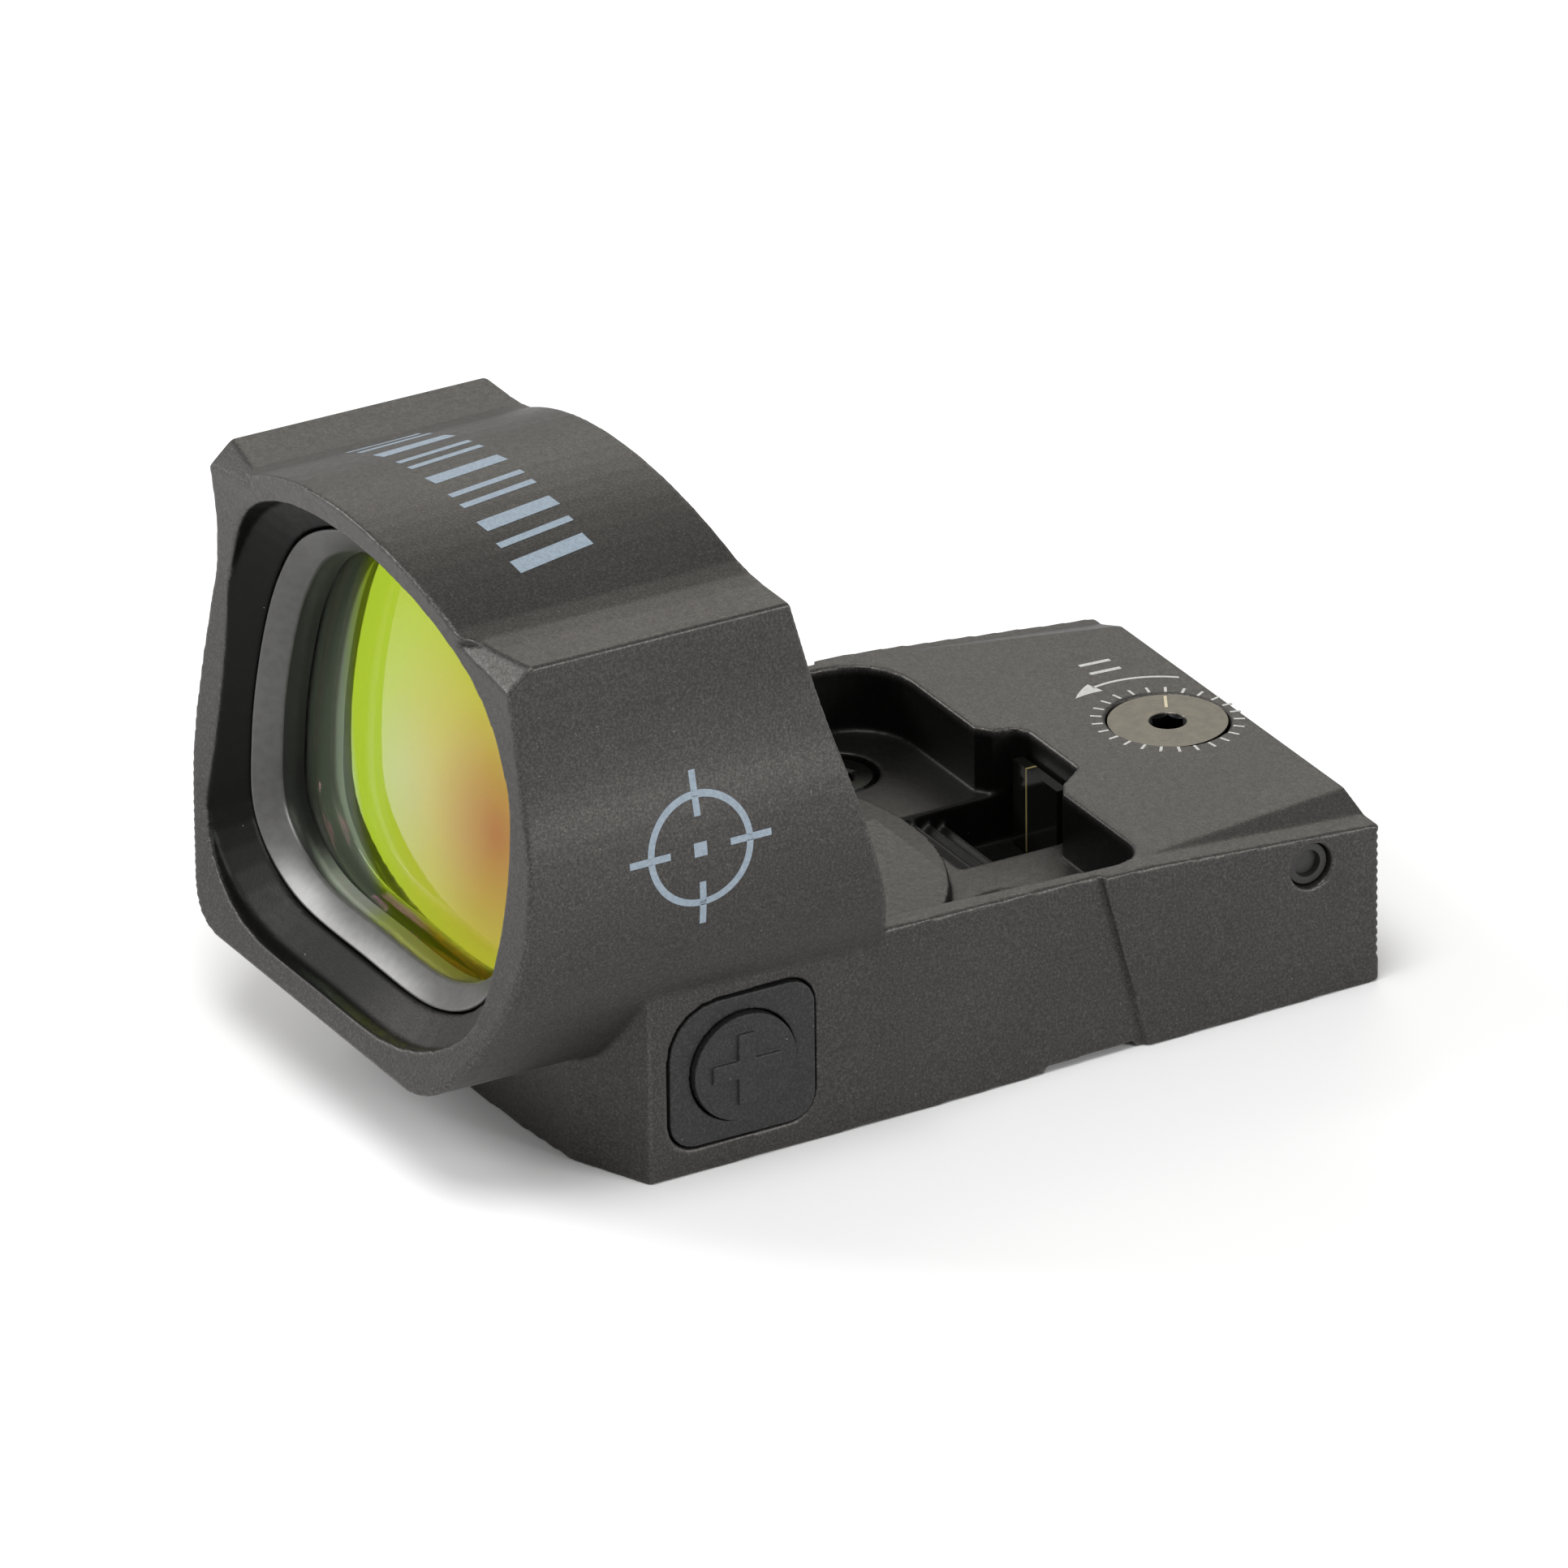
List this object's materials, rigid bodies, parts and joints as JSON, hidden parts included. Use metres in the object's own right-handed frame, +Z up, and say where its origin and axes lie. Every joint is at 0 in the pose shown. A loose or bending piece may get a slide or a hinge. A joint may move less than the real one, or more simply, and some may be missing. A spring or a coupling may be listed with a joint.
{
  "type": "open reflex red dot sight",
  "caption": "Compact open reflex red dot sight: metal hood with a tilted doublet lens, low base with emitter recess, adjustment screws and side buttons.",
  "frame": {"origin": "centre of the bounding box's bottom face, on the flat sole of the base", "axes": "+Y points to the rear of the sight, where the elevation screw is; -Y is the end the hood opens to; +X is the side of the plus button; +Z is up"},
  "size_m": [0.0284, 0.0444, 0.027],
  "materials": {
    "anodised_aluminium": "matte, bead-blasted, dark warm grey",
    "rubber": "matte charcoal",
    "nickel": "satin, warm nickel",
    "steel": "satin",
    "brass": "satin",
    "lens_glass": "polished, dichroic green-orange reflection",
    "window_glass": "polished",
    "board": "solder-mask green",
    "black_plastic": "matte black",
    "red_die": "clear red"
  },
  "bodies": {
    "sight_body": {"housing": "anodised_aluminium", "plus_pad": "rubber", "minus_pad": "rubber", "battery_seal_ring": "rubber", "detent_plug": "anodised_aluminium", "elevation_spring": "steel", "windage_spring": "steel", "elevation_detent_ball": "steel", "elevation_detent_spring": "steel", "battery": "steel", "bottom_plate": "steel", "plate_screw_1": "steel", "plate_screw_2": "steel", "plate_screw_3": "steel", "plate_screw_4": "steel", "mounting_screw_left": "steel", "mounting_screw_right": "steel", "plus_switch": "steel", "minus_switch": "steel", "battery_contact_positive": "brass", "battery_contact_negative": "brass", "front_lens": "lens_glass", "rear_lens": "lens_glass", "emitter_window": "window_glass", "circuit_board": "board", "battery_flex": "board", "controller_chip": "black_plastic", "lens_adhesive_ring": "black_plastic"},
    "elevation_knob": {"elevation_screw": "nickel", "elevation_o_ring": "rubber", "elevation_clip": "steel"},
    "windage_knob": {"windage_screw": "nickel", "windage_o_ring": "rubber", "windage_clip": "steel"},
    "windage_slide": {"windage_carriage": "steel"},
    "emitter_slide": {"emitter_carriage": "brass", "led_emitter": "red_die"},
    "nut_slide": {"elevation_nut": "brass"},
    "plus_key": {"plus_button": "rubber", "plus_plunger": "black_plastic"},
    "minus_key": {"minus_button": "rubber", "minus_plunger": "black_plastic"}
  },
  "joints": [
    {"name": "elevation_turn", "type": "hinge", "parent": "sight_body", "child": "elevation_knob", "pos_m": [0, 0.019, 0.007], "axis": [0, 0, 1], "range_deg": [-360, 360]},
    {"name": "windage_turn", "type": "hinge", "parent": "sight_body", "child": "windage_knob", "pos_m": [-0.0105, 0.0173, 0.0031], "axis": [1, 0, 0], "range_deg": [-360, 360]},
    {"name": "windage_travel", "type": "slide", "parent": "sight_body", "child": "windage_slide", "axis": [1, 0, 0], "range_m": [-0.00035, 0.00035]},
    {"name": "emitter_travel", "type": "slide", "parent": "windage_slide", "child": "emitter_slide", "axis": [0, 0, 1], "range_m": [-0.00035, 0.00035], "deforming": ["elevation_spring"]},
    {"name": "nut_travel", "type": "slide", "parent": "sight_body", "child": "nut_slide", "axis": [0, 0, 1], "range_m": [-0.00035, 0.00035], "stiffness_N_per_m": 0.02, "springref_m": 0.01135},
    {"name": "plus_press", "type": "slide", "parent": "sight_body", "child": "plus_key", "axis": [-1, 0, 0], "range_m": [0, 0.00025], "stiffness_N_per_m": 2000},
    {"name": "minus_press", "type": "slide", "parent": "sight_body", "child": "minus_key", "axis": [1, 0, 0], "range_m": [0, 0.00025], "stiffness_N_per_m": 2000}
  ],
  "couplings": [
    {"joint": "windage_turn", "follows": "windage_travel", "rad_per_m": 17934},
    {"joint": "elevation_turn", "follows": "emitter_travel", "rad_per_m": 17934},
    {"joint": "nut_travel", "follows": "emitter_travel", "ratio": 0.999}
  ]
}
